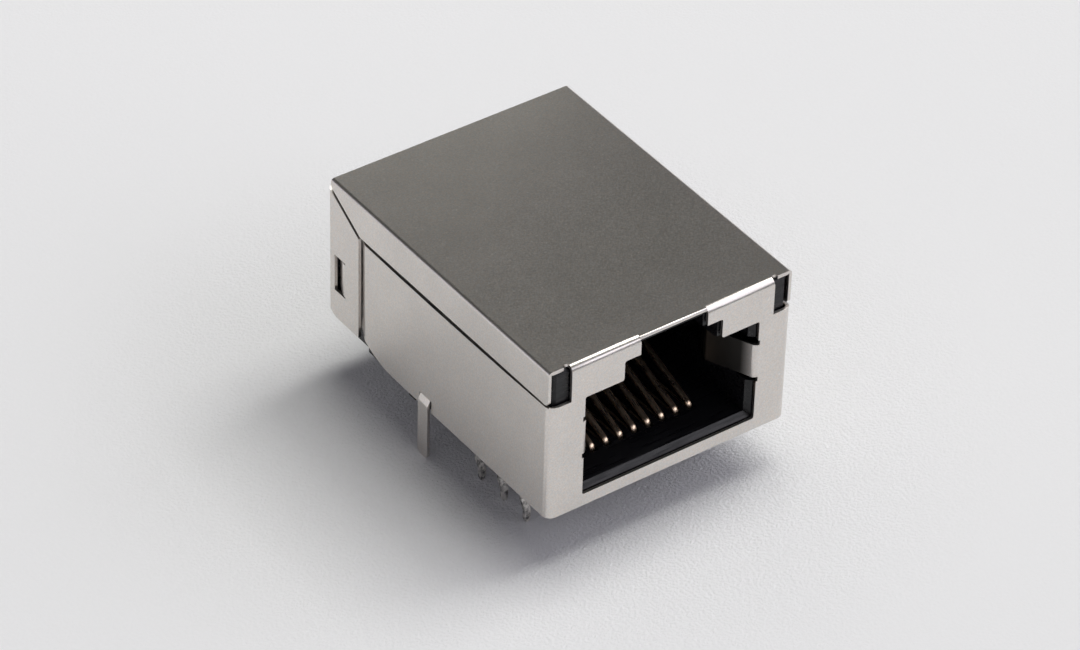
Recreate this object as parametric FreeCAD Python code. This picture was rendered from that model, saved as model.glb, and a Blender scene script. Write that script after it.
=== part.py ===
import FreeCAD, Part
import math
import os

# Shielded modular jack for a circuit board, latch side up, one port, with its magnetics inside.
# Millimetres. +X across the port, +Y from the port towards the rear, +Z away from the board.
# The origin is on the board's face, midway between the two locating pegs.

# Board side
board_gap = 0.5
tail_reach = 3.05
peg_spacing = 11.43
peg_diameter = 1.7
peg_reach = 2.2
peg_chamfer = 0.35
peg_setback = 12.45

# Folded shield
sheet = 0.2
shield_width = 17.4
shield_depth = 22.8
shield_height = 10.7
front_fold = 0.6
top_fold = 0.45
flap_fold = 0.25
rear_fold = 0.45
lap_gap = 0.05
fit_gap = 0.05

# Port cut in the shield's front, heights from the shield's lower edge
port_width = 12.5
port_sill = 0.85
port_shoulder = 8.11
step_width = 7.02
step_top = 9.49
latch_width = 4.78
port_corner = 0.15
lip_setback = 0.12

# Corner notches beside the top fold
notch_width = 1.45
notch_base = 8.2
notch_setback = 0.3
notch_bite = 0.2

# Side flaps of the top and the walls under them
flap_edge = 8.27
flap_corner = 0.3
wall_top_ends = 8.12
wall_top_middle = 7.95
wall_tail_run = 7.0
wall_tail_radius = 6.1
joggle_run = 0.62
joggle_gap = 0.08
joggle_radius = 0.4
wall_setback = 0.5

# Rear cover
cover_lap = 3.22
cover_low = 0.6
cover_chamfer = 0.8
cover_rise = 0.35
diagonal_lead = 0.18
diagonal_slope = 0.606
diagonal_gap = 0.55
bridge_width = 2.0
bridge_inset = 1.9
bridge_slot_setback = 0.28
bridge_slot_depth = 0.6
corner_relief = 0.17

# Locking tongues of the rear cover
lock_setback = 1.8
lock_length = 1.15
lock_base = 2.65
lock_height = 2.65
lock_tongue = 0.85
lock_slit = 0.1
lock_lean = 24.0
lock_bend = 1.1
lock_bend_lead = 0.25

# Grounding fingers in the port
finger_low = 3.95
finger_height = 2.4
finger_fold = 0.4
finger_start = 6.1
finger_lean = 24.0
finger_depth = 3.2
finger_return = 1.9
finger_return_lean = 33.0
finger_apex_radius = 0.5
finger_relief = 0.33
finger_bite = 0.12

# Ground tabs on the side walls
tab_width = 1.0
tab_offset = 0.2
tab_root = 0.85
tab_ramp = 0.4
tab_slit = 0.12
tab_tip_radius = 0.3

# Moulded housing
housing_front = 0.3
housing_drop = 0.1
housing_edge = 0.3
housing_top_edge = 0.22
cavity_width = 11.8
cavity_floor = 1.2
cavity_shoulder = 7.95
cavity_depth = 13.6
cavity_step_width = 6.7
cavity_step_top = 9.35
cavity_latch_width = 4.5
latch_roof = 0.25
lead_in = 0.3
rear_wall = 0.8
bay_wall = 0.75
bay_roof = 0.6
pocket_side = 0.95
pocket_depth = 6.6
pocket_margin = 0.42
lock_pocket = 0.35
comb_front = 11.0
comb_top = 5.4
comb_slot_depth = 1.6
comb_slot_top = 5.0
foot_size = 0.7
front_foot_x = 5.6
front_foot_y = 1.6
side_foot_y = 14.2
rear_foot_setback = 4.55

# Contact springs
contact_count = 8
contact_pitch = 1.016
contact_width = 0.4
contact_thickness = 0.3
contact_slot = 0.56
contact_leg = 0.75
contact_hairpin_y = 3.1
contact_hairpin_radius = 0.32
contact_slope = 20.0
contact_end_y = 11.9
contact_slot_front = 2.45
contact_slot_floor = 0.45
contact_tail_lead = 0.75
contact_tail_stagger = 1.1
contact_bend = 0.5

# Moulded insert and the small circuit board on it
insert_gap = 0.05
insert_base = 1.4
insert_side = 0.35
board_seat = 3.4
board_thickness = 0.8
board_gap_front = 0.15
board_gap_rear = 0.25
board_clearance = 0.05
tail_stub = 0.3
hole_clearance = 0.1
insert_back = 0.5
insert_back_top = 9.6
insert_foot_x = 6.0
insert_foot_setback = 1.15

# Board pins: three in each side wall, four in the insert
pin_width = 0.45
pin_thickness = 0.25
pin_taper = 0.1
pin_taper_length = 0.3
side_pin_inset = 0.25
side_pin_first = 4.05
side_pin_pitch = 2.3
side_pin_count = 3
side_run_low = 1.7
side_run_step = 0.6
side_tail_lead = 0.75
side_tail_step = 1.2
pin_bend = 0.4
rear_pin_setback = 1.95
rear_pin_pitch = 2.54
rear_pin_count = 4
kink_offset = 0.35
kink_start = 0.4
kink_out = 1.1
kink_back = 1.6
kink_end = 2.2

# Magnetics: four wound cores in a row in a channel that lies on two rails of the housing, over the chips
core_count = 4
core_gap = 0.8
core_inner = 1.3
core_height = 1.6
winding_build = 0.2
winding_span = 120.0
tray_side = 0.25
tray_wall = 0.25
tray_floor = 0.4
tray_height = 2.4
tray_lift = 1.5
tray_rail_width = 0.4
tray_rail_height = 0.5
tray_clearance = 0.1

# Termination parts on the small circuit board, either side of the rear pins' rows
chip_length = 1.6
chip_width = 0.8
chip_height = 0.45
chip_gap = 0.1
capacitor_length = 3.2
capacitor_width = 1.5
capacitor_height = 1.2
chip_edge = 0.1

# Heights and half widths that follow, and how far cutting shapes reach past what they cut
half = shield_width / 2
low = board_gap
top = low + shield_height
lap = sheet + lap_gap
inner_half = half - sheet - fit_gap
tail_half = inner_half - lap
notch_half = half - notch_width
bridge_offset = half - bridge_inset
bay_half = tail_half - bay_wall
pocket_half = cavity_width / 2 + pocket_side
side_pin_x = bay_half - side_pin_inset
insert_half = side_pin_x - insert_side
housing_base = low - housing_drop
housing_top = top - sheet - fit_gap
housing_rear = shield_depth - sheet - fit_gap
cover_front = shield_depth - cover_lap
joggle_end = cover_front - joggle_gap
joggle_start = joggle_end - joggle_run
diagonal_start = cover_front - diagonal_lead
wall_end = shield_depth - wall_setback
wall_tail_start = shield_depth - wall_tail_run
lock_front = shield_depth - lock_setback
rear_pin_y = housing_rear - rear_pin_setback
floor_z = low + cavity_floor
bay_front = cavity_depth + rear_wall
insert_front = bay_front + insert_gap
board_z = low + board_seat
board_top = board_z + board_thickness
board_front = insert_front + board_gap_front
board_rear = housing_rear - insert_back - board_gap_rear
board_middle = (board_front + board_rear) / 2
core_pitch = 2 * (bay_half - tray_side) / core_count
core_outer = core_pitch - core_gap
tray_base = board_top + tray_lift
stub_top = board_top + tail_stub
flap_z = low + flap_edge
leg_z = low + contact_leg
reach = 100.0
over = 1.0
across = FreeCAD.Vector(1, 0, 0)
back = FreeCAD.Vector(0, 1, 0)
up = FreeCAD.Vector(0, 0, 1)


# Planes that take flat outlines
def in_yz(a, b, x=0.0):
    return FreeCAD.Vector(x, a, b)


def in_xz(a, b, y=0.0):
    return FreeCAD.Vector(a, y, b)


def in_xy(a, b, z=0.0):
    return FreeCAD.Vector(a, b, z)


# Straight runs joined by arcs; a radius of nought keeps a corner sharp
def rounded_edges(points, radii, place, closed=False):
    count = len(points)
    starts, ends, arcs = [], [], []
    for i, (x, y) in enumerate(points):
        radius = radii[i]
        if radius <= 0:
            starts.append((x, y))
            ends.append((x, y))
            arcs.append(None)
            continue
        ax, ay = points[i - 1]
        bx, by = points[(i + 1) % count]
        la, lb = math.hypot(ax - x, ay - y), math.hypot(bx - x, by - y)
        ua, ub = ((ax - x) / la, (ay - y) / la), ((bx - x) / lb, (by - y) / lb)
        angle = math.acos(max(-1.0, min(1.0, ua[0] * ub[0] + ua[1] * ub[1])))
        cut = radius / math.tan(angle / 2)
        middle = (ua[0] + ub[0], ua[1] + ub[1])
        size = math.hypot(*middle)
        away = radius / math.sin(angle / 2) - radius
        starts.append((x + ua[0] * cut, y + ua[1] * cut))
        ends.append((x + ub[0] * cut, y + ub[1] * cut))
        arcs.append((x + middle[0] / size * away, y + middle[1] / size * away))
    edges = []
    for i in range(count):
        if arcs[i]:
            edges.append(Part.Arc(place(*starts[i]), place(*arcs[i]), place(*ends[i])).toShape())
        follows = (i + 1) % count
        if follows == 0 and not closed:
            break
        a, b = place(*ends[i]), place(*starts[follows])
        if a.distanceToPoint(b) > 1e-7:
            edges.append(Part.LineSegment(a, b).toShape())
    return edges


def outline(points, place, radii=None):
    radii = radii or [0] * len(points)
    return Part.Face(Part.Wire(rounded_edges(points, radii, place, closed=True)))


# The same path moved sideways: left of its way by the distance, or right where that is negative
def beside(points, distance):
    normals = []
    for (ax, ay), (bx, by) in zip(points, points[1:]):
        length = math.hypot(bx - ax, by - ay)
        normals.append((-(by - ay) / length, (bx - ax) / length))
    moved = []
    for i, (x, y) in enumerate(points):
        before, after = normals[max(i - 1, 0)], normals[min(i, len(normals) - 1)]
        scale = distance / (1 + before[0] * after[0] + before[1] * after[1])
        moved.append((x + (before[0] + after[0]) * scale, y + (before[1] + after[1]) * scale))
    return moved


def turns_left(points, i):
    (ax, ay), (x, y), (bx, by) = points[i - 1:i + 2]
    return (x - ax) * (by - y) > (y - ay) * (bx - x)


# Section of a sheet folded along a path, which is its left or its right face; radii are the bends' outer ones
def folded_sheet(points, outer_radii, thickness, side, place):
    far = beside(points, thickness * side)
    radii, far_radii = [0], [0]
    for i in range(1, len(points) - 1):
        wide, tight = outer_radii[i], outer_radii[i] - thickness
        inside = turns_left(points, i) == (side > 0)
        radii.append(0 if not wide else wide if inside else tight)
        far_radii.append(0 if not wide else tight if inside else wide)
    edges = rounded_edges(points, radii + [0], place) + rounded_edges(far, far_radii + [0], place)
    caps = [Part.LineSegment(place(*points[i]), place(*far[i])).toShape() for i in (0, -1)]
    return Part.Face(Part.Wire(Part.__sortEdges__(edges + caps)))


# Strip bent in the plane x along its middle line; radii are the middle line's
def bent_strip(points, radii, thickness, width, x):
    outer = [radius + thickness / 2 if radius else 0 for radius in radii]
    face = folded_sheet(beside(points, -thickness / 2), outer, thickness, 1,
                        lambda a, b: in_yz(a, b, x - width / 2))
    return face.extrude(across * width)


def box(x0, x1, y0, y1, z0, z1):
    return Part.makeBox(x1 - x0, y1 - y0, z1 - z0, FreeCAD.Vector(x0, y0, z0))


# The same solid on the left and on the right
def both_sides(solid):
    return [solid, solid.mirror(FreeCAD.Vector(0, 0, 0), across)]


def join(solids):
    return solids[0].fuse(solids[1:]).removeSplitter()


# Front plate and side walls, wrapped round the two front folds
def shield_wrap():
    left = [(-half + lap, wall_end), (-half + lap, joggle_end), (-half, joggle_start), (-half, 0)]
    points = left + [(-x, y) for x, y in reversed(left)]
    radii = [0, joggle_radius, joggle_radius, front_fold]
    radii = radii + radii[::-1]
    face = folded_sheet(points, radii, sheet, 1, lambda a, b: in_xy(a, b, low))
    wrap = face.extrude(up * (shield_height - top_fold))
    ends, middle = low + wall_top_ends, low + wall_top_middle
    crown = Part.Arc(in_yz(notch_setback, ends), in_yz(shield_depth / 2, middle), in_yz(shield_depth, ends))
    rim = [(shield_depth, ends), (shield_depth, top), (-over, top), (-over, low + notch_base),
           (notch_setback, low + notch_base), (notch_setback, ends)]
    rim_edges = [Part.LineSegment(in_yz(*a), in_yz(*b)).toShape() for a, b in zip(rim, rim[1:]) if a != b]
    above = Part.Face(Part.Wire(Part.__sortEdges__([crown.toShape()] + rim_edges)))
    above.translate(across * notch_half)
    tail_centre = in_yz(wall_tail_start, low + wall_tail_radius, -reach / 2)
    tail = Part.makeCylinder(wall_tail_radius, reach, tail_centre, across)
    corner = box(-half - over, half + over, wall_tail_start, shield_depth + over, low - over,
                 low + wall_tail_radius)
    return wrap.cut(both_sides(above.extrude(across * half)) + [corner.cut(tail)])


# Upper front, top plate and rear cover in one strip from front to rear
def shield_spine():
    width = shield_width - 2 * flap_fold
    rear_end = low + cover_low + cover_rise
    points = [(0, top - 2 * top_fold), (0, top), (shield_depth, top), (shield_depth, rear_end)]
    face = folded_sheet(points, [0, top_fold, rear_fold, 0], sheet, -1, lambda a, b: in_yz(a, b, -width / 2))
    return face.extrude(across * width)


# Top plate with its two side flaps, cut on the diagonal where the rear cover's flaps meet them
def shield_flaps():
    points = [(-half, flap_z), (-half, top), (half, top), (half, flap_z)]
    face = folded_sheet(points, [0, flap_fold, flap_fold, 0], sheet, -1,
                        lambda a, b: in_xz(a, b, notch_setback))
    length = shield_depth - bridge_slot_setback - notch_setback
    flaps = face.extrude(back * length)
    rise = top - flap_z
    behind = outline([(diagonal_start, flap_z), (diagonal_start + rise / diagonal_slope, top),
                      (reach, top), (reach, flap_z)], in_yz)
    behind.translate(across * (half - flap_fold))
    y, z = notch_setback + flap_corner, flap_z + flap_corner
    side = box(half - flap_fold, half + over, notch_setback - over, y, flap_z - over, z)
    round_part = Part.makeCylinder(flap_corner, half, in_yz(y, z), across)
    fold = box(-notch_half, notch_half, 0, top_fold, flap_z, top + over)
    return flaps.cut(both_sides(behind.extrude(across * half)) + both_sides(side.cut(round_part)) + [fold])


# Rear cover with its two flaps that lap over the side walls
def shield_cover():
    points = [(-half, cover_front), (-half, shield_depth), (half, shield_depth), (half, cover_front)]
    base = low + cover_low
    face = folded_sheet(points, [0, flap_fold, flap_fold, 0], sheet, -1, lambda a, b: in_xy(a, b, base))
    cover = face.extrude(up * (top - bridge_slot_depth - base))
    start = diagonal_start + diagonal_gap
    y0, y1 = cover_front - over, shield_depth + over
    before = outline([(y0, flap_z - (start - y0) * diagonal_slope),
                      (y1, flap_z + (y1 - start) * diagonal_slope), (y1, reach), (y0, reach)], in_yz)
    before.translate(across * (half - flap_fold))
    chamfer = outline([(shield_depth - cover_chamfer, base - over), (shield_depth - cover_chamfer, base),
                       (shield_depth, base + cover_rise), (y1, base + cover_rise), (y1, base - over)], in_yz)
    chamfer.translate(across * -reach / 2)
    return cover.cut(both_sides(before.extrude(across * half)) + [chamfer.extrude(across * reach)])


# What is pierced out of the folded shield
def shield_piercings():
    port = [(port_width / 2, low + port_sill), (port_width / 2, low + port_shoulder),
            (step_width / 2, low + port_shoulder), (step_width / 2, low + step_top),
            (latch_width / 2, low + step_top), (latch_width / 2, top + over)]
    points = port + [(-x, z) for x, z in reversed(port)]
    radii = [port_corner] * 4 + [0.0, 0.0]
    opening = outline(points, in_xz, radii + radii[::-1])
    opening.translate(back * -over)
    cuts = [opening.extrude(back * (over + top_fold))]
    z0, z1 = low + finger_low, low + finger_low + finger_height
    bite = port_width / 2 + finger_bite
    for a, b in ((z0 - finger_relief, z0), (z1, z1 + finger_relief)):
        cuts += both_sides(box(port_width / 2 - over, bite, -over, front_fold, a, b))
    cuts += both_sides(box(port_width / 2 - over, finger_start + finger_fold, -over, front_fold, z0, z1))
    notch = box(notch_half, half + over, -over, notch_setback, low + notch_base, top + over)
    bite_centre = FreeCAD.Vector(notch_half + notch_bite, notch_setback, top - 2 * sheet)
    cuts += both_sides(notch) + both_sides(Part.makeCylinder(notch_bite, over, bite_centre, up))
    slot = (top - bridge_slot_depth, top + over)
    rear = (shield_depth - bridge_slot_setback, shield_depth + over)
    inner = (bridge_width / 2, bridge_offset - bridge_width / 2)
    cuts += both_sides(box(*inner, *rear, *slot))
    cuts += both_sides(box(bridge_offset + bridge_width / 2, half + over, *rear, *slot))
    relief_at = in_yz(shield_depth - corner_relief, top - bridge_slot_depth, half - over)
    cuts += both_sides(Part.makeCylinder(corner_relief, 2 * over, relief_at, across))
    window = box(half - sheet - lap_gap / 2, half + over, lock_front, lock_front + lock_length,
                 low + lock_base, low + lock_base + lock_height)
    hole = box(half - lap - sheet - lap_gap, half - sheet - lap_gap / 2, lock_front + lock_slit,
               lock_front + lock_length + lock_slit, low + lock_base - lock_slit,
               low + lock_base + lock_height + lock_slit)
    cuts += both_sides(window) + both_sides(hole)
    tab_half = tab_width / 2 + tab_slit
    cuts += both_sides(box(half - 2 * sheet, half + over, peg_setback - tab_half, peg_setback + tab_half,
                           low - over, low + tab_root))
    return cuts


# Flat lip of the top plate over the latch slot
def shield_lip():
    return box(-latch_width / 2, latch_width / 2, lip_setback, 2 * top_fold, top - sheet, top)


# Grounding finger folded in from the port's edge, leaning in and then back out
def shield_finger():
    lean, out = math.radians(finger_lean), math.radians(finger_return_lean)
    apex = (finger_start - finger_depth * math.tan(lean), finger_depth)
    end = (apex[0] + finger_return * math.tan(out), apex[1] + finger_return)
    points = [(finger_start + finger_fold + sheet, 0), (finger_start, 0), apex, end]
    face = folded_sheet(points, [0, finger_fold, finger_apex_radius, 0], sheet, -1,
                        lambda a, b: in_xy(a, b, low + finger_low))
    return face.extrude(up * finger_height)


# Ground tab, stepped out of the side wall and reaching through the board
def shield_tab():
    points = [(half, low + tab_root + tab_slit), (half, low + tab_root),
              (half + tab_offset, low + tab_root - tab_ramp), (half + tab_offset, -tail_reach)]
    face = folded_sheet(points, [0, joggle_radius, joggle_radius, 0], sheet, -1,
                        lambda a, b: in_xz(a, b, peg_setback - tab_width / 2))
    tab = face.extrude(back * tab_width)
    y0, y1 = peg_setback - tab_width / 2, peg_setback + tab_width / 2
    tip = outline([(y0, -tail_reach), (y1, -tail_reach), (y1, top), (y0, top)], in_yz,
                  [tab_tip_radius, tab_tip_radius, 0, 0])
    return tab.common(tip.extrude(across * reach))


# Tongue lanced from the rear cover's flap, hinged at its front and leaning into the side wall's hole
def shield_tongue():
    lean = math.radians(lock_lean)
    bend_y = lock_front + lock_bend_lead
    end = (half - lock_tongue * math.sin(lean), bend_y + lock_tongue * math.cos(lean))
    points = [(half, lock_front - sheet), (half, bend_y), end]
    face = folded_sheet(points, [0, lock_bend, 0], sheet, 1,
                        lambda a, b: in_xy(a, b, low + lock_base + lock_slit))
    return face.extrude(up * (lock_height - 2 * lock_slit))


def make_shield():
    body = join([shield_wrap(), shield_spine(), shield_flaps(), shield_cover()])
    body = body.cut(shield_piercings())
    added = [shield_lip()]
    for piece in (shield_finger(), shield_tab(), shield_tongue()):
        added += both_sides(piece)
    return join([body] + added)


def contact_places():
    first = -contact_pitch * (contact_count - 1) / 2
    return [first + contact_pitch * i for i in range(contact_count)]


# Plug cavity: body, middle step and latch slot, with a flared mouth and pockets for the fingers
def plug_cavity():
    w, s, l = cavity_width / 2, cavity_step_width / 2, cavity_latch_width / 2
    right = [(w, floor_z), (w, low + cavity_shoulder), (s, low + cavity_shoulder), (s, low + cavity_step_top),
             (l, low + cavity_step_top), (l, housing_top - latch_roof)]
    section = outline(right + [(-x, z) for x, z in reversed(right)], in_xz)
    cavity = section.extrude(back * cavity_depth)
    y0, y1 = housing_front, housing_front + lead_in
    mouth = Part.makeWedge(-port_width / 2, y0, low + port_sill, floor_z, -w, port_width / 2, y1,
                           low + port_shoulder, low + cavity_shoulder, w)
    z0, z1 = low + finger_low - pocket_margin, low + finger_low + finger_height + pocket_margin
    pockets = box(-pocket_half, pocket_half, 0, pocket_depth, z0, z1)
    comb = box(-w, w, comb_front, cavity_depth, floor_z, low + comb_top)
    shaped = cavity.cut(comb)
    slots = []
    for x in contact_places():
        a, b = x - contact_slot / 2, x + contact_slot / 2
        slots.append(box(a, b, contact_slot_front, bay_front, low + contact_slot_floor, floor_z))
        slots.append(box(a, b, comb_front - over, comb_front + comb_slot_depth, floor_z, low + comb_slot_top))
    return [shaped, mouth, pockets] + slots


def foot(x, y):
    s = foot_size / 2
    return box(x - s, x + s, y - s, y + s, 0, housing_base)


def make_housing():
    e, rear = housing_edge, joggle_start - fit_gap
    left = [(-tail_half, housing_rear), (-tail_half, rear), (-inner_half, rear),
            (-inner_half, housing_front + e), (-inner_half + e, housing_front)]
    plan = outline(left + [(-x, y) for x, y in reversed(left)], in_xy)
    block = plan.extrude(up * (housing_top - housing_base))
    block.translate(up * housing_base)
    c = housing_top_edge
    profile = outline([(housing_front, housing_base), (housing_front, housing_top - c),
                       (housing_front + c, housing_top), (housing_rear - c, housing_top),
                       (housing_rear, housing_top - c), (housing_rear, housing_base)], in_yz)
    profile.translate(across * -inner_half)
    block = block.common(profile.extrude(across * 2 * inner_half))
    section = outline([(-inner_half, housing_base), (inner_half, housing_base), (inner_half, housing_top - c),
                       (inner_half - c, housing_top), (c - inner_half, housing_top),
                       (-inner_half, housing_top - c)], in_xz)
    block = block.common(section.extrude(back * shield_depth))
    bay = box(-bay_half, bay_half, bay_front, shield_depth, housing_base - over, housing_top - bay_roof)
    y, z = lock_front + lock_slit, low + lock_base
    lock_room = box(tail_half - lock_pocket, half, y, y + lock_length, z, z + lock_height)
    block = block.cut(plug_cavity() + [bay] + both_sides(lock_room))
    rail = box(bay_half - tray_rail_width, bay_half, bay_front, board_rear,
               tray_base - tray_rail_height, tray_base)
    added = both_sides(rail)
    r, c = peg_diameter / 2, peg_chamfer
    peg = Part.makeCylinder(r, housing_base + peg_reach - c, FreeCAD.Vector(peg_spacing / 2, peg_setback,
                                                                            c - peg_reach), up)
    tip = Part.makeCone(r - c, r, c, FreeCAD.Vector(peg_spacing / 2, peg_setback, -peg_reach), up)
    s, rear_foot_y = foot_size / 2, shield_depth - rear_foot_setback
    feet = [foot(front_foot_x, front_foot_y), foot(inner_half - s, side_foot_y), foot(tail_half - s, rear_foot_y)]
    for piece in [peg, tip] + feet:
        added += both_sides(piece)
    return join([block] + added)


def contact_tail_y(index):
    return insert_front + contact_tail_lead + contact_tail_stagger * (index % 2)


# Contact spring: soldered tail, leg under the cavity's floor, hairpin, and sloping blade
def make_contact(index):
    x = contact_places()[index]
    tail_y = contact_tail_y(index)
    slope = math.radians(contact_slope)
    corner_y = contact_hairpin_y - contact_hairpin_radius / math.tan(slope / 2)
    end_z = leg_z + (contact_end_y - corner_y) * math.tan(slope)
    points = [(tail_y, stub_top), (tail_y, leg_z), (corner_y, leg_z), (contact_end_y, end_z)]
    radii = [0, contact_bend, contact_hairpin_radius, 0]
    return bent_strip(points, radii, contact_thickness, contact_width, x)


# Board pin, thin from front to rear, with the kink that holds it in the board
def make_pin(run, x, y):
    kinked = [(y, -kink_start), (y + kink_offset, -kink_out), (y + kink_offset, -kink_back), (y, -kink_end),
              (y, -tail_reach)]
    radii = [0] + [pin_bend] * (len(run) - 1) + [0] * len(kinked)
    strip = bent_strip(run + kinked, radii, pin_thickness, pin_width, x)
    w, end = pin_width / 2, -tail_reach
    corner = outline([(x + w - pin_taper, end), (x + w, end + pin_taper_length),
                      (x + w + over, end + pin_taper_length), (x + w + over, end - over),
                      (x + w - pin_taper, end - over)], in_xz)
    corner.translate(back * (y - over))
    right = corner.extrude(back * 2 * over)
    left = right.mirror(FreeCAD.Vector(x, 0, 0), across)
    return strip.cut([right, left])


def side_pin_run(index):
    y = side_pin_first + side_pin_pitch * index
    run_z = low + side_run_low + side_run_step * (side_pin_count - 1 - index)
    tail_y = insert_front + side_tail_lead + side_tail_step * index
    return [(tail_y, stub_top), (tail_y, run_z), (y, run_z)], y


def rear_pin_places():
    first = -rear_pin_pitch * (rear_pin_count - 1) / 2
    return [first + rear_pin_pitch * i for i in range(rear_pin_count)]


# Insert that holds the contacts' tails and the rear pins, carries the circuit board and closes the back
def make_insert(held):
    w = bay_half - insert_gap
    base = box(-w, w, insert_front, housing_rear, housing_base, low + insert_base)
    upper = box(-insert_half, insert_half, insert_front, housing_rear, housing_base, board_z)
    wall = box(-w, w, housing_rear - insert_back, housing_rear, housing_base, low + insert_back_top)
    feet = both_sides(foot(insert_foot_x, housing_rear - insert_foot_setback))
    return join([base, upper, wall] + feet).cut(held)


def make_board():
    w = bay_half - 2 * board_clearance
    plate = box(-w, w, board_front, board_rear, board_z, board_top)
    cuts = []
    a, b = contact_width / 2 + hole_clearance, contact_thickness / 2 + hole_clearance
    for index, x in enumerate(contact_places()):
        y = contact_tail_y(index)
        cuts.append(box(x - a, x + a, y - b, y + b, board_z - over, board_top + over))
    a, b = pin_width / 2 + hole_clearance, pin_thickness / 2 + hole_clearance
    for index in range(side_pin_count):
        y = side_pin_run(index)[0][0][0]
        cuts += both_sides(box(side_pin_x - a, side_pin_x + over, y - b, y + b, board_z - over,
                               board_top + over))
    for x in rear_pin_places():
        cuts.append(box(x - a, x + a, rear_pin_y - b, rear_pin_y + b, board_z - over, board_top + over))
    return plate.cut(cuts)


def core_places():
    first = -core_pitch * (core_count - 1) / 2
    return [first + core_pitch * i for i in range(core_count)]


# Height of the cores' undersides, on the tray's floor with the wire under them
def core_base():
    return tray_base + tray_floor + winding_build


# Channel with two end walls that holds the wound cores
def make_tray():
    d = core_outer / 2 + winding_build + tray_clearance
    w = core_pitch * (core_count - 1) / 2 + d
    y0, y1, z1 = board_middle - d, board_middle + d, tray_base + tray_height
    body = box(-w - tray_wall, w + tray_wall, y0, y1, tray_base, z1)
    return body.cut(box(-w, w, y0, y1, tray_base + tray_floor, z1))


def ring_section(inner, outer, height, z):
    return outline([(inner, z), (outer, z), (outer, z + height), (inner, z + height)], in_xz)


def make_core(x):
    section = ring_section(core_inner / 2, core_outer / 2, core_height, core_base())
    solid = section.revolve(FreeCAD.Vector(0, 0, 0), up, 360)
    solid.translate(FreeCAD.Vector(x, board_middle, 0))
    return solid


# Two wound sectors round one core, taken as solid copper
def make_winding(x):
    g = winding_build
    section = ring_section(core_inner / 2 - g, core_outer / 2 + g, core_height + 2 * g, core_base() - g)
    section.rotate(FreeCAD.Vector(0, 0, 0), up, -winding_span / 2)
    sector = section.revolve(FreeCAD.Vector(0, 0, 0), up, winding_span)
    other = sector.copy()
    other.rotate(FreeCAD.Vector(0, 0, 0), up, 180)
    pair = Part.makeCompound([sector, other])
    pair.translate(FreeCAD.Vector(x, board_middle, 0))
    return pair.cut(make_core(x))


# Chip part that lies along the board, from front to rear
def make_chip(x, y, length, width, height):
    return box(x - width / 2, x + width / 2, y - length / 2, y + length / 2, board_top, board_top + height)


# Resistors in a square on the right, the capacitor on the left
def make_chips():
    side = (rear_pin_count - 1) * rear_pin_pitch / 2 + pin_width / 2 + chip_edge
    step_x, step_y = chip_width + chip_gap, chip_length + chip_gap
    x = side + chip_width / 2
    places = [(x + step_x * i, board_middle + step_y * (j - 0.5)) for i in (0, 1) for j in (0, 1)]
    chips = {}
    for index, (x, y) in enumerate(places):
        chips["chip_resistor_%d" % (index + 1)] = make_chip(x, y, chip_length, chip_width, chip_height)
    chips["chip_capacitor"] = make_chip(-side - capacitor_width / 2, board_middle, capacitor_length,
                                        capacitor_width, capacitor_height)
    return chips


def write(name, shape):
    shape.translate(back * -peg_setback)
    shape.exportStep("parts/" + name + ".step")
    print(name, len(shape.Solids), "solid", round(shape.Volume, 4), "mm3", "valid", shape.isValid())


def build():
    contacts = [make_contact(index) for index in range(contact_count)]
    side_pins = {"left": [], "right": []}
    for index in range(side_pin_count):
        run, y = side_pin_run(index)
        side_pins["left"].append(make_pin(run, -side_pin_x, y))
        side_pins["right"].append(make_pin(run, side_pin_x, y))
    rear_pins = [make_pin([(rear_pin_y, stub_top)], x, rear_pin_y) for x in rear_pin_places()]
    moulded_in = side_pins["left"] + side_pins["right"]
    nodes = {"shield": make_shield(), "housing": make_housing().cut(moulded_in),
             "contact_insert": make_insert(contacts + rear_pins), "inner_circuit_board": make_board(),
             "coil_tray": make_tray()}
    for index, contact in enumerate(contacts):
        nodes["contact_%d" % (index + 1)] = contact
    for side, pins in side_pins.items():
        for index, pin in enumerate(pins):
            nodes["%s_board_pin_%d" % (side, index + 1)] = pin
    for index, pin in enumerate(rear_pins):
        nodes["rear_board_pin_%d" % (index + 1)] = pin
    for index, x in enumerate(core_places()):
        nodes["toroid_core_%d" % (index + 1)] = make_core(x)
        nodes["toroid_winding_%d" % (index + 1)] = make_winding(x)
    nodes.update(make_chips())
    os.makedirs("parts", exist_ok=True)
    for name, shape in nodes.items():
        write(name, shape)


build()
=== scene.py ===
import math

import bmesh
import bpy
from mathutils import Matrix, Vector


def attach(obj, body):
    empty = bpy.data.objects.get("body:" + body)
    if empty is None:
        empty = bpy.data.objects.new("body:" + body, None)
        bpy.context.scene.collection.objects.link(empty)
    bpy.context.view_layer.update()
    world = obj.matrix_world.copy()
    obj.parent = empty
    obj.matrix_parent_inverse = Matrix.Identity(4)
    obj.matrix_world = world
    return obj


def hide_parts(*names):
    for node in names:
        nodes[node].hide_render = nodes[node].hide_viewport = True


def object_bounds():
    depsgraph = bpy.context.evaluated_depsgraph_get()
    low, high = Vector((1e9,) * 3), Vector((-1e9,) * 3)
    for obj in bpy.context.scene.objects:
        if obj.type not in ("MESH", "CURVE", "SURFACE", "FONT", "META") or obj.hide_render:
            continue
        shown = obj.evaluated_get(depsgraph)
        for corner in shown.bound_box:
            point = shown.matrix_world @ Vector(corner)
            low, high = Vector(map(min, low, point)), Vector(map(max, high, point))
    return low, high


# Looks of a shielded modular jack, in metres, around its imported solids.
# +X across the port, +Y from the port towards the rear, +Z away from the board.

bl_info = {
    "name": "Shielded Modular Jack",
    "version": (1, 0, 0),
    "blender": (4, 5, 0),
    "location": "View3D > Sidebar > Jack",
    "description": "Dresses the jack's solids with plated, moulded and soldered finishes",
    "category": "Object",
}

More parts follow.
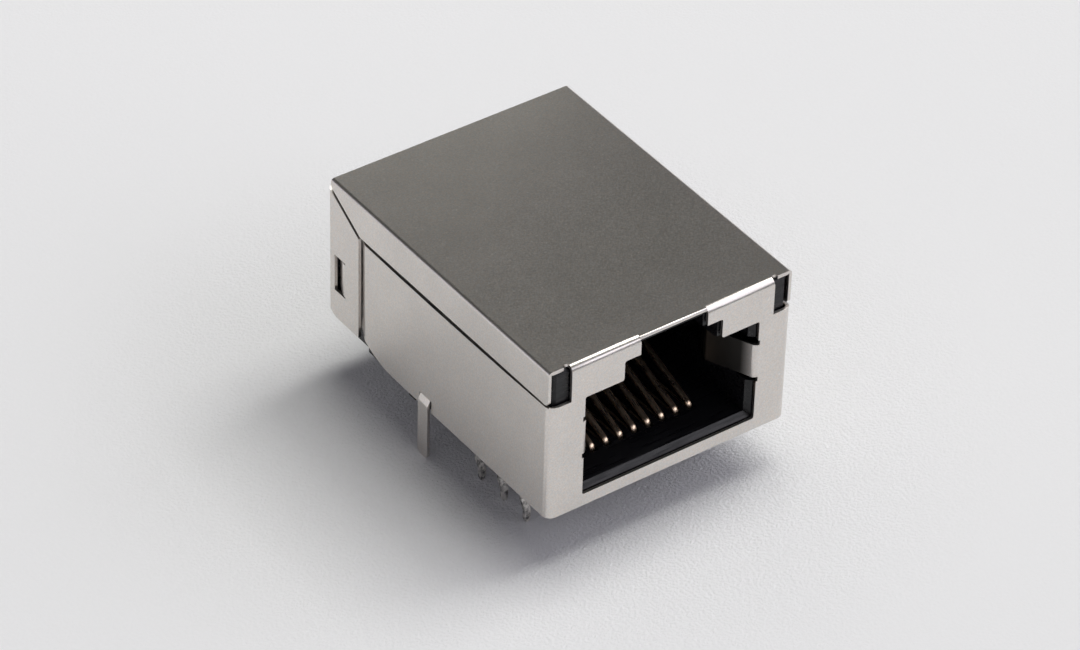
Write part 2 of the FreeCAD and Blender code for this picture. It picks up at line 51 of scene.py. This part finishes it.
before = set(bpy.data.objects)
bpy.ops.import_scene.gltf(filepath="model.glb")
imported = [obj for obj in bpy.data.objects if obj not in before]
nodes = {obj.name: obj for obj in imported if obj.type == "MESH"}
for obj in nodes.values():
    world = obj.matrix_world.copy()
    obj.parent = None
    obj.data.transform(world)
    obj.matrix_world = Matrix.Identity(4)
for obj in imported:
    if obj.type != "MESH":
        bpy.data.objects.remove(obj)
cad_low, cad_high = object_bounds()
BODY = "root"
MOULDINGS = ("housing", "contact_insert", "coil_tray")

# The camera's place and its picture's right and up, solved from the photo
CAMERA_PLACE = Vector((-0.135528, -0.182092, 0.181852))
CAMERA_RIGHT = Vector((0.813725, -0.580776, 0.023477))
CAMERA_UP = Vector((0.344716, 0.514715, 0.785009))

# Cloudy noise mostly lies between these
NOISE_LOW = 0.3
NOISE_HIGH = 0.7

# The plate's warm and cool specks, and no tint
WARM = (1.04, 1.0, 0.965, 1.0)
COOL = (0.96, 1.0, 1.035, 1.0)
PLAIN = (1.0, 1.0, 1.0)

# The space of the painted shade on the shield's fingers inside the port: two depths behind the
# jack's front, half a width, a height over the board, and how soft its edges are
FINGERS_FROM = 0.0003
FINGERS_TO = 0.006
FINGERS_ASIDE = 0.0064
FINGERS_TOP = 0.009
FINGERS_FADE = 0.0001

# Where the studio's cards and sides end, as shares of a unit direction, and how soft their
# edges are
CARD_FOOT = 0.3
CARD_TOP = 0.75
CARD_FADE = 0.05
SIDE_FADE = 0.1
REAR_CARD = 0.7
REAR_FADE = 0.1
FRONT_ROOM = -0.5
FRONT_FADE = 0.2


def rgb(colour, factor=1.0):
    return (colour[0] * factor, colour[1] * factor, colour[2] * factor, 1.0)


# Shader maths

class Wire:
    """A shader socket that can be written into sums and products."""

    def __init__(self, finish, socket):
        self.finish = finish
        self.socket = socket

    def combine(self, operation, *values):
        return self.finish.node("ShaderNodeMath", {"operation": operation}, *values)

    def __add__(self, other):
        return self.combine("ADD", self, other)

    def __sub__(self, other):
        return self.combine("SUBTRACT", self, other)

    def __mul__(self, other):
        return self.combine("MULTIPLY", self, other)

    __radd__ = __add__
    __rmul__ = __mul__

    def __rsub__(self, other):
        return self.combine("SUBTRACT", other, self)

    def __abs__(self):
        return self.combine("ABSOLUTE", self)


class Shading:
    """A shader, its node tree and the place that its patterns read."""

    def __init__(self, owner, shader, place, constants):
        owner.use_nodes = True
        self.tree = owner.node_tree
        self.shader = self.tree.nodes[shader]
        for socket, value in constants.items():
            self.shader.inputs[socket.replace("_", " ")].default_value = value
        self.place = self.node("ShaderNodeTexCoord", output=place)

    def node(self, kind, settings=None, *values, output=0, **named):
        """Adds a node, with its settings and with the values or links of its sockets."""
        made = self.tree.nodes.new(kind)
        for setting, value in (settings or {}).items():
            setattr(made, setting, value)
        pairs = list(zip(made.inputs, values))
        pairs += [(made.inputs[name.replace("_", " ")], value) for name, value in named.items()]
        for socket, value in pairs:
            if isinstance(value, Wire):
                self.tree.links.new(value.socket, socket)
            elif value is not None:
                socket.default_value = value
        return Wire(self, made.outputs[output])

    def feed(self, **sockets):
        """Links the shader's own sockets."""
        for socket, wire in sockets.items():
            self.tree.links.new(wire.socket, self.shader.inputs[socket.replace("_", " ")])

    def noise(self, size, detail=2.0, roughness=0.5, place=None):
        """Cloudy noise whose grains are about the given size in metres."""
        return self.node("ShaderNodeTexNoise", None, Vector=place or self.place, Scale=1 / size,
                         Detail=detail, Roughness=roughness)

    def stretched(self, factors):
        """The place for a pattern that is drawn out along each axis whose factor is below 1."""
        return self.node("ShaderNodeMapping", None, Vector=self.place, Scale=factors)

    def axis(self, name):
        return self.node("ShaderNodeSeparateXYZ", None, self.place, output=name)

    def ramp(self, wire, low, high, least=0.0, most=1.0):
        """Moves a value from the range low..high to least..most, held at both ends."""
        return self.node("ShaderNodeMapRange", {"clamp": True}, wire, low, high, least, most)

    def spread(self, noise, least=0.0, most=1.0):
        """Moves noise from where it mostly lies to least..most."""
        return self.ramp(noise, NOISE_LOW, NOISE_HIGH, least, most)

    def above(self, wire, edge, fade):
        """Rises from 0 to 1 over a fade to both sides of an edge."""
        return self.ramp(wire, edge - fade, edge + fade)

    def below(self, wire, edge, fade):
        """Falls from 1 to 0 over a fade to both sides of an edge."""
        return self.ramp(wire, edge + fade, edge - fade)

    def blend(self, factor, first, second, way="MIX"):
        """Mixes two colours. Their sockets follow those for numbers and vectors."""
        skipped, colour_result = [None] * 5, 2
        return self.node("ShaderNodeMix", {"data_type": "RGBA", "blend_type": way}, factor,
                         *skipped, first, second, output=colour_result)

    def shades(self, share, colour, dark, light):
        """Goes from a dark to a light shade of one colour."""
        return self.blend(share, rgb(colour, dark), rgb(colour, light))

    def tinted(self, colour, tint):
        return self.blend(1.0, colour, tint, "MULTIPLY")

    def relief(self, height, distance, strength):
        self.feed(Normal=self.node("ShaderNodeBump", None, Height=height, Distance=distance,
                                   Strength=strength))


class Finish(Shading):
    """One material of the jack or its stage."""

    def __init__(self, name, **constants):
        self.material = bpy.data.materials.new(name)
        super().__init__(self.material, "Principled BSDF", "Object", constants)


class Surroundings(Shading):
    """The studio round the jack, by direction."""

    def __init__(self, name, **constants):
        self.world = bpy.data.worlds.new(name)
        super().__init__(self.world, "Background", "Generated", constants)


# Settings that a user would change

def colour_setting(name, description, default):
    return bpy.props.FloatVectorProperty(name=name, description=description, subtype="COLOR",
                                         size=3, min=0, max=1, default=default)


def aim_setting(name, description, default):
    return bpy.props.FloatVectorProperty(name=name, description=description, subtype="DIRECTION",
                                         size=3, default=default)


def share_setting(name, description, default):
    return bpy.props.FloatProperty(name=name, description=description, subtype="FACTOR",
                                   min=0, max=1, default=default)


def length_setting(name, description, default):
    return bpy.props.FloatProperty(name=name, description=description, unit="LENGTH",
                                   precision=5, default=default)


def brightness_setting(name, description, default):
    return bpy.props.FloatProperty(name=name, description=description, min=0, default=default)


def power_setting(name, description, default):
    return bpy.props.FloatProperty(name=name, description=description, unit="POWER",
                                   default=default)


class JackFinishes(bpy.types.PropertyGroup):
    """Colours and patterns of the jack's finishes"""

    plate: colour_setting("Plate", "Colour of the plated shield", (0.70, 0.665, 0.63))
    plate_roughness: share_setting("Plate roughness", "How satin the shield is", 0.3)
    plate_grain: length_setting("Plate grain", "Size of the plate's fine speckle", 0.00009)
    plate_cloud: length_setting("Plate cloud", "Size of the plate's soft patches", 0.0035)
    # Painted shade: the depth into the port at which the fingers' colour is fully darkened
    painted_shade_depth: length_setting("Plate inside", "How soon the fingers darken in the port", 0.0009)
    plastic: colour_setting("Plastic", "Colour of the black mouldings", (0.006, 0.006, 0.0075))
    plastic_roughness: share_setting("Plastic roughness", "How satin the mouldings are", 0.36)
    plastic_grain: length_setting("Plastic grain", "Size of the mouldings' fine grain", 0.00006)
    plastic_streak: length_setting("Plastic streak", "Width of the mouldings' streaks", 0.0002)
    gold: colour_setting("Gold", "Colour of the contact springs", (0.97, 0.76, 0.57))
    gold_streak: length_setting("Gold streak", "Width of the springs' streaks", 0.00012)
    tin: colour_setting("Tin", "Colour of the board pins", (0.6, 0.58, 0.55))
    tin_mottle: length_setting("Tin mottle", "Size of the pins' mottles", 0.0003)
    laminate: colour_setting("Laminate", "Colour of the small circuit board", (0.03, 0.16, 0.07))
    laminate_weave: length_setting("Laminate weave", "Size of the small board's weave", 0.0004)
    laminate_cloud: length_setting("Laminate cloud", "Size of the small board's patches", 0.002)
    ferrite: colour_setting("Ferrite", "Colour of the coil cores", (0.06, 0.06, 0.062))
    ferrite_grain: length_setting("Ferrite grain", "Size of the cores' grain", 0.00008)
    copper: colour_setting("Copper", "Colour of the enamelled wire", (0.62, 0.25, 0.1))
    copper_cloud: length_setting("Copper cloud", "Size of the wire's patches", 0.0002)
    ceramic: colour_setting("Ceramic", "Colour of the chip parts", (0.3, 0.22, 0.15))
    ceramic_grain: length_setting("Ceramic grain", "Size of the chip parts' grain", 0.0001)


class JackEdges(bpy.types.PropertyGroup):
    """Roundings of the jack's edges"""

    sheet_edge: length_setting("Sheet edge", "Rounding of the shield's cut edges", 0.000045)
    lip_edge: length_setting("Lip edge", "Rounding of the lip over the latch slot", 0.00011)
    lip_setback: length_setting("Lip setback", "From the jack's front to the lip", 0.00012)
    moulded_edge: length_setting("Moulded edge", "Rounding of the mouldings' edges", 0.00005)
    spring_edge: length_setting("Spring edge", "Rounding along the contact springs", 0.00013)
    pin_edge: length_setting("Pin edge", "Rounding of the pins' edges", 0.00003)
    fold_angle: bpy.props.FloatProperty(name="Fold angle", subtype="ANGLE",
                                        description="Sharper corners than this get an edge",
                                        default=math.radians(32))


class JackStage(bpy.types.PropertyGroup):
    """Floor, lamps, cards and camera round the jack"""

    floor: colour_setting("Floor", "Colour of the paper floor", (0.842, 0.842, 0.862))
    floor_size: length_setting("Floor size", "Side of the square floor", 4.0)
    paper_grain: length_setting("Paper grain", "Size of the paper's texture", 0.0002)
    paper_relief: length_setting("Paper relief", "Depth of the paper's texture", 0.00016)
    relief_near: length_setting("Relief near", "How far the paper's full relief reaches", 0.013)
    relief_far: length_setting("Relief far", "From where on the paper looks smooth", 0.03)
    card_colour: colour_setting("Card colour", "Tint of the white cards", (0.945, 0.93, 1.0))
    right_card: brightness_setting("Right card", "Brightness of the card at the right", 1.79)
    left_card: brightness_setting("Left card", "Brightness of the low card at the left", 0.88)
    rear_card: brightness_setting("Rear card", "Brightness of the low card at the back", 1.0)
    left_room: brightness_setting("Left room", "Brightness of the studio's left side", 0.08)
    front_room: brightness_setting("Front room", "Brightness of the studio's front side", 0.56)
    backdrop: share_setting("Backdrop", "Brightness of the backdrop as the camera sees it", 0.76)
    lamp_colour: colour_setting("Lamp colour", "Tint of the lamps", (1.0, 1.0, 0.945))
    lamp_size: share_setting("Lamp size", "Side of a soft lamp as a share of its distance", 0.4)
    lamp_distance: length_setting("Lamp distance", "From the jack to the two large lamps", 1.4)
    rear_distance: length_setting("Rear distance", "From the jack to the rear lamp", 0.12)
    overhead_aim: aim_setting("Overhead aim", "Direction of the overhead lamp", (0.15, 0.1, 1.0))
    right_aim: aim_setting("Right aim", "Direction of the lamp at the right", (0.6, 0.0, 1.0))
    rear_aim: aim_setting("Rear aim", "Direction of the rear lamp", (0.36, 0.78, 0.39))
    overhead_power: power_setting("Overhead power", "Power of the overhead soft lamp", 6.85)
    right_power: power_setting("Right power", "Power of the soft lamp at the right", 6.36)
    rear_power: power_setting("Rear power", "Power of the small lamp close behind", 0.0039)
    lens: bpy.props.FloatProperty(name="Lens", description="Focal length in millimetres",
                                  default=160.82)


# Meshes

def merged_copy(node):
    """A clean mesh of a solid: corners merged and flat faces whole."""
    mesh = bmesh.new()
    mesh.from_mesh(nodes[node].data)
    bmesh.ops.remove_doubles(mesh, verts=mesh.verts, dist=0.0000005)
    bmesh.ops.dissolve_limit(mesh, angle_limit=math.radians(0.5), verts=mesh.verts,
                             edges=mesh.edges)
    return mesh


def bevel(mesh, edges, width, segments):
    bmesh.ops.bevel(mesh, geom=edges, offset=width, offset_type="OFFSET", affect="EDGES",
                    segments=segments, profile=0.5, material=-1, clamp_overlap=True)


def soften(mesh, width, angle, segments=2):
    """Rounds the edges of a mesh that are sharper than an angle."""
    sharp = [edge for edge in mesh.edges if edge.is_manifold and edge.calc_face_angle() > angle]
    bevel(mesh, sharp, width, segments)


def edge_along(edge, y, z):
    """Whether an edge runs across the jack at a depth and a height."""
    near = 0.000002
    return all(abs(end.co.y - y) < near and abs(end.co.z - z) < near for end in edge.verts)


def finished(mesh, name, material, node, angle):
    """Makes the piece that takes a solid's place, at the origin and riding on the jack."""
    data = bpy.data.meshes.new(name)
    mesh.to_mesh(data)
    mesh.free()
    data.polygons.foreach_set("use_smooth", [True] * len(data.polygons))
    data.set_sharp_from_angle(angle=angle)
    piece = bpy.data.objects.new(name, data)
    bpy.context.scene.collection.objects.link(piece)
    data.materials.append(material)
    weighted = piece.modifiers.new("weighted", "WEIGHTED_NORMAL")
    weighted.weight = 100
    weighted.keep_sharp = True
    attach(piece, BODY)
    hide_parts(node)


def dress(node, material):
    """Gives a solid its finish."""
    target = nodes[node]
    target.data.materials.clear()
    target.data.materials.append(material)


def nodes_named(start):
    """The solids that are alike, in order."""
    return sorted(name for name in nodes if name.startswith(start) and name not in MOULDINGS)


# Finishes

def plated_sheet(settings):
    finish = Finish("plated_sheet", Metallic=1.0)
    size, level = settings.plate_grain, settings.plate_roughness
    speck_size, tint_size = size * 2.2, size * 1.3
    speck_share, painted_shade_share = 0.4, 0.95
    # The dim colour is the painted shade for the fingers inside the port
    bright, painted_shade_colour = rgb(settings.plate, 1.3), rgb(settings.plate, 0.1)
    grain = finish.noise(size)
    cloud = finish.noise(settings.plate_cloud, detail=3.0)
    speck = finish.ramp(finish.noise(speck_size, detail=1.0), low=0.66, high=0.78)
    tint = finish.spread(finish.noise(tint_size))
    speckle = finish.shades(finish.spread(grain), PLAIN, dark=0.92, light=1.08)
    colour = finish.shades(finish.spread(cloud), settings.plate, dark=0.965, light=1.03)
    colour = finish.blend(speck * speck_share, colour, bright)
    colour = finish.tinted(colour, finish.blend(tint, WARM, COOL))
    colour = finish.tinted(colour, speckle)
    # Painted shade: the fingers darken towards the inside of the port
    colour = finish.blend(painted_finger_shade(finish, settings) * painted_shade_share, colour, painted_shade_colour)
    finish.feed(Base_Color=colour,
                Roughness=finish.spread(grain, least=level - 0.015, most=level + 0.025))
    finish.relief(grain, distance=0.000002, strength=0.18)
    return finish.material


def painted_finger_shade(finish, settings):
    """Where shade is painted: rises from 0 to 1 along the shield's fingers, into the port."""
    depth = finish.axis("Y") - cad_low.y
    mask = finish.ramp(depth, FINGERS_FROM, settings.painted_shade_depth)
    for wire, edge in ((depth, FINGERS_TO), (abs(finish.axis("X")), FINGERS_ASIDE),
                       (finish.axis("Z"), FINGERS_TOP)):
        mask = mask * finish.ramp(wire, edge + FINGERS_FADE, edge)
    return mask


def moulded_plastic(settings):
    finish = Finish("moulded_plastic", IOR=1.42)
    level, swing = settings.plastic_roughness, 0.16
    along = finish.stretched((0.08, 1.0, 1.0))
    streak = finish.noise(settings.plastic_streak, detail=3.0, place=along)
    share = finish.spread(streak)
    finish.feed(Base_Color=finish.shades(share, settings.plastic, dark=0.8, light=1.25),
                Roughness=finish.ramp(streak, low=0.35, high=0.65, least=level - swing,
                                      most=level + swing))
    finish.relief(finish.noise(settings.plastic_grain), distance=0.000003, strength=0.3)
    return finish.material


def gold_plate(settings):
    finish = Finish("gold_plate", Metallic=1.0)
    along = finish.stretched((1.0, 0.12, 0.12))
    streak = finish.noise(settings.gold_streak, place=along)
    finish.feed(Base_Color=finish.shades(streak, settings.gold, dark=0.85, light=1.1),
                Roughness=finish.spread(streak, least=0.25, most=0.36))
    finish.relief(streak, distance=0.000002, strength=0.3)
    return finish.material


def tin_plate(settings):
    finish = Finish("tin_plate", Metallic=1.0)
    cloud = finish.noise(settings.tin_mottle, detail=4.0, roughness=0.6)
    mottle = finish.ramp(cloud, low=0.4, high=0.58)
    finish.feed(Base_Color=finish.shades(mottle, settings.tin, dark=0.45, light=1.4),
                Roughness=finish.spread(cloud, least=0.22, most=0.42))
    finish.relief(cloud, distance=0.00003, strength=0.6)
    return finish.material


def circuit_laminate(settings):
    finish = Finish("circuit_laminate")
    weave = finish.node("ShaderNodeTexChecker", None, Vector=finish.place,
                        Scale=1 / settings.laminate_weave, output="Fac")
    cloud = finish.noise(settings.laminate_cloud)
    weave_share, cloud_share = 0.25, 0.4
    share = weave * weave_share + cloud * cloud_share
    finish.feed(Base_Color=finish.shades(share, settings.laminate, dark=0.8, light=1.6),
                Roughness=finish.spread(cloud, least=0.25, most=0.4))
    return finish.material


def pressed_ferrite(settings):
    finish = Finish("pressed_ferrite")
    grain = finish.noise(settings.ferrite_grain, detail=3.0)
    finish.feed(Base_Color=finish.shades(grain, settings.ferrite, dark=0.7, light=1.5),
                Roughness=finish.spread(grain, least=0.55, most=0.8))
    finish.relief(grain, distance=0.00001, strength=0.5)
    return finish.material


def enamelled_wire(settings):
    finish = Finish("enamelled_wire", Metallic=1.0, Coat_Weight=0.6)
    cloud = finish.noise(settings.copper_cloud)
    finish.feed(Base_Color=finish.shades(cloud, settings.copper, dark=0.8, light=1.2),
                Roughness=finish.spread(cloud, least=0.25, most=0.35))
    return finish.material


def chip_ceramic(settings):
    finish = Finish("chip_ceramic")
    grain = finish.noise(settings.ceramic_grain, detail=3.0)
    finish.feed(Base_Color=finish.shades(grain, settings.ceramic, dark=0.8, light=1.2),
                Roughness=finish.spread(grain, least=0.4, most=0.6))
    return finish.material


def paper(settings):
    """Paper whose relief shows near the jack."""
    finish = Finish("paper", Roughness=0.75)
    fibre = finish.noise(settings.paper_grain, detail=4.0, roughness=0.6)
    finish.feed(Base_Color=finish.shades(fibre, settings.floor, dark=0.985, light=1.015))
    apart = finish.node("ShaderNodeVectorMath", {"operation": "LENGTH"}, finish.place,
                        output="Value")
    strength = finish.ramp(apart, settings.relief_far, settings.relief_near, least=0.12, most=0.9)
    finish.relief(fibre, settings.paper_relief, strength)
    return finish.material


# Stage

def make_floor(scene, settings):
    mesh = bmesh.new()
    place = Matrix.Translation((0, 0, cad_low.z))
    bmesh.ops.create_grid(mesh, x_segments=1, y_segments=1, size=settings.floor_size / 2,
                          matrix=place)
    data = bpy.data.meshes.new("paper_floor")
    mesh.to_mesh(data)
    mesh.free()
    floor = bpy.data.objects.new("paper_floor", data)
    scene.collection.objects.link(floor)
    data.materials.append(paper(settings))


def make_lamps(scene, settings):
    far, near = settings.lamp_distance, settings.rear_distance
    for name, aim, distance, power in (
            ("overhead_lamp", settings.overhead_aim, far, settings.overhead_power),
            ("right_lamp", settings.right_aim, far, settings.right_power),
            ("rear_lamp", settings.rear_aim, near, settings.rear_power)):
        lamp = bpy.data.lights.new(name, "AREA")
        lamp.shape = "SQUARE"
        lamp.size = distance * settings.lamp_size
        lamp.energy = power
        lamp.color = settings.lamp_colour
        shine = bpy.data.objects.new(name, lamp)
        scene.collection.objects.link(shine)
        shine.visible_camera = False
        shine.location = Vector(aim).normalized() * distance
        shine.rotation_mode = "QUATERNION"
        shine.rotation_quaternion = shine.location.to_track_quat("Z", "Y")


def make_surroundings(scene, settings):
    """A card at the right, low cards at the left and the back, and a room lighter in front."""
    studio = Surroundings("studio", Color=rgb(settings.card_colour))
    away = CAMERA_UP.xy.normalized()
    across, along, height = (studio.axis(name) for name in "XYZ")
    rightward = across * away.y - along * away.x
    rearward = across * away.x + along * away.y
    beside = abs(rearward)
    right = studio.above(rightward - beside, 0.0, SIDE_FADE)
    left = studio.below(rightward + beside, 0.0, SIDE_FADE)
    rear = studio.above(rearward, REAR_CARD, REAR_FADE)
    front = studio.below(rearward, FRONT_ROOM, FRONT_FADE)
    middle = studio.above(height, CARD_FOOT, CARD_FADE) * studio.below(height, CARD_TOP, CARD_FADE)
    low = studio.below(height, CARD_FOOT, CARD_FADE)
    light = right * middle * settings.right_card + left * low * settings.left_card
    light = light + rear * low * settings.rear_card
    light = light + (left * settings.left_room + front * settings.front_room) * middle
    seen = studio.node("ShaderNodeLightPath", output="Is Camera Ray")
    light = light * (1 - seen) + seen * settings.backdrop
    studio.feed(Strength=light)
    scene.world = studio.world


def make_camera(scene, settings):
    camera = bpy.data.cameras.new("camera")
    camera.lens = settings.lens
    camera.sensor_width = 36.0
    camera.clip_start = 0.01
    eye = bpy.data.objects.new("camera", camera)
    scene.collection.objects.link(eye)
    axes = Matrix((CAMERA_RIGHT, CAMERA_UP, CAMERA_RIGHT.cross(CAMERA_UP)))
    eye.matrix_world = Matrix.Translation(CAMERA_PLACE) @ axes.transposed().to_4x4()
    scene.camera = eye


# Operators

class JACK_OT_shield(bpy.types.Operator):
    """Makes the folded shield with softened cut edges"""

    bl_idname = "jack.shield"
    bl_label = "Shield"
    bl_options = {"REGISTER", "UNDO"}

    def execute(self, context):
        scene, edges = context.scene, context.scene.jack_edges
        plate = plated_sheet(scene.jack_finishes)
        mesh = merged_copy("shield")
        lip_depth = cad_low.y + edges.lip_setback
        lip = [edge for edge in mesh.edges if edge_along(edge, lip_depth, cad_high.z)]
        bevel(mesh, lip, edges.lip_edge, segments=4)
        soften(mesh, edges.sheet_edge, edges.fold_angle)
        finished(mesh, "folded_shield", plate, "shield", edges.fold_angle)
        return {"FINISHED"}


class JACK_OT_mouldings(bpy.types.Operator):
    """Makes the housing, the insert and the coil tray with moulded edges"""

    bl_idname = "jack.mouldings"
    bl_label = "Mouldings"
    bl_options = {"REGISTER", "UNDO"}

    def execute(self, context):
        scene, edges = context.scene, context.scene.jack_edges
        plastic = moulded_plastic(scene.jack_finishes)
        for node in MOULDINGS:
            mesh = merged_copy(node)
            soften(mesh, edges.moulded_edge, edges.fold_angle)
            finished(mesh, "moulded_" + node, plastic, node, edges.fold_angle)
        return {"FINISHED"}


class JACK_OT_contacts(bpy.types.Operator):
    """Makes the gold-plated contact springs"""

    bl_idname = "jack.contacts"
    bl_label = "Contact springs"
    bl_options = {"REGISTER", "UNDO"}

    def execute(self, context):
        scene, edges = context.scene, context.scene.jack_edges
        gold = gold_plate(scene.jack_finishes)
        for node in nodes_named("contact_"):
            mesh = merged_copy(node)
            soften(mesh, edges.spring_edge, edges.fold_angle, segments=3)
            finished(mesh, "spring_" + node, gold, node, edges.fold_angle)
        return {"FINISHED"}


class JACK_OT_pins(bpy.types.Operator):
    """Makes the tin-plated board pins"""

    bl_idname = "jack.pins"
    bl_label = "Board pins"
    bl_options = {"REGISTER", "UNDO"}

    def execute(self, context):
        scene, edges = context.scene, context.scene.jack_edges
        tin = tin_plate(scene.jack_finishes)
        for side in ("left", "right", "rear"):
            for node in nodes_named(side + "_board_pin"):
                mesh = merged_copy(node)
                soften(mesh, edges.pin_edge, edges.fold_angle)
                finished(mesh, "tinned_" + node, tin, node, edges.fold_angle)
        return {"FINISHED"}


class JACK_OT_magnetics(bpy.types.Operator):
    """Finishes the small circuit board, its chips and the wound cores"""

    bl_idname = "jack.magnetics"
    bl_label = "Magnetics"
    bl_options = {"REGISTER", "UNDO"}

    def execute(self, context):
        for start, finish in (("inner_circuit_board", circuit_laminate),
                              ("toroid_core_", pressed_ferrite),
                              ("toroid_winding_", enamelled_wire),
                              ("chip_", chip_ceramic)):
            material = finish(context.scene.jack_finishes)
            for node in nodes_named(start):
                dress(node, material)
        return {"FINISHED"}


class JACK_OT_stage(bpy.types.Operator):
    """Makes the paper floor, the soft lamps, the surroundings and the camera"""

    bl_idname = "jack.stage"
    bl_label = "Stage"
    bl_options = {"REGISTER", "UNDO"}

    def execute(self, context):
        for make in (make_floor, make_surroundings, make_lamps, make_camera):
            make(context.scene, context.scene.jack_stage)
        return {"FINISHED"}


PIECES = (JACK_OT_shield, JACK_OT_mouldings, JACK_OT_contacts, JACK_OT_pins, JACK_OT_magnetics,
          JACK_OT_stage)
SETTINGS = {"jack_finishes": JackFinishes, "jack_edges": JackEdges, "jack_stage": JackStage}


class JACK_PT_panel(bpy.types.Panel):
    """Lists the jack's pieces and settings"""

    bl_idname = "JACK_PT_panel"
    bl_label = "Modular Jack"
    bl_space_type = "VIEW_3D"
    bl_region_type = "UI"
    bl_category = "Jack"

    def draw(self, context):
        for piece in PIECES:
            self.layout.operator(piece.bl_idname)
        for name, group in SETTINGS.items():
            box = self.layout.box()
            for setting in group.__annotations__:
                box.prop(getattr(context.scene, name), setting)


CLASSES = tuple(SETTINGS.values()) + PIECES + (JACK_PT_panel,)


def register():
    for each in CLASSES:
        bpy.utils.register_class(each)
    for name, group in SETTINGS.items():
        setattr(bpy.types.Scene, name, bpy.props.PointerProperty(type=group))


def unregister():
    for name in SETTINGS:
        delattr(bpy.types.Scene, name)
    for each in reversed(CLASSES):
        bpy.utils.unregister_class(each)


def main():
    register()
    bpy.context.scene.view_settings.view_transform = "Standard"
    bpy.ops.jack.shield()
    bpy.ops.jack.mouldings()
    bpy.ops.jack.contacts()
    bpy.ops.jack.pins()
    bpy.ops.jack.magnetics()
    bpy.ops.jack.stage()


if __name__ == "__main__":
    main()
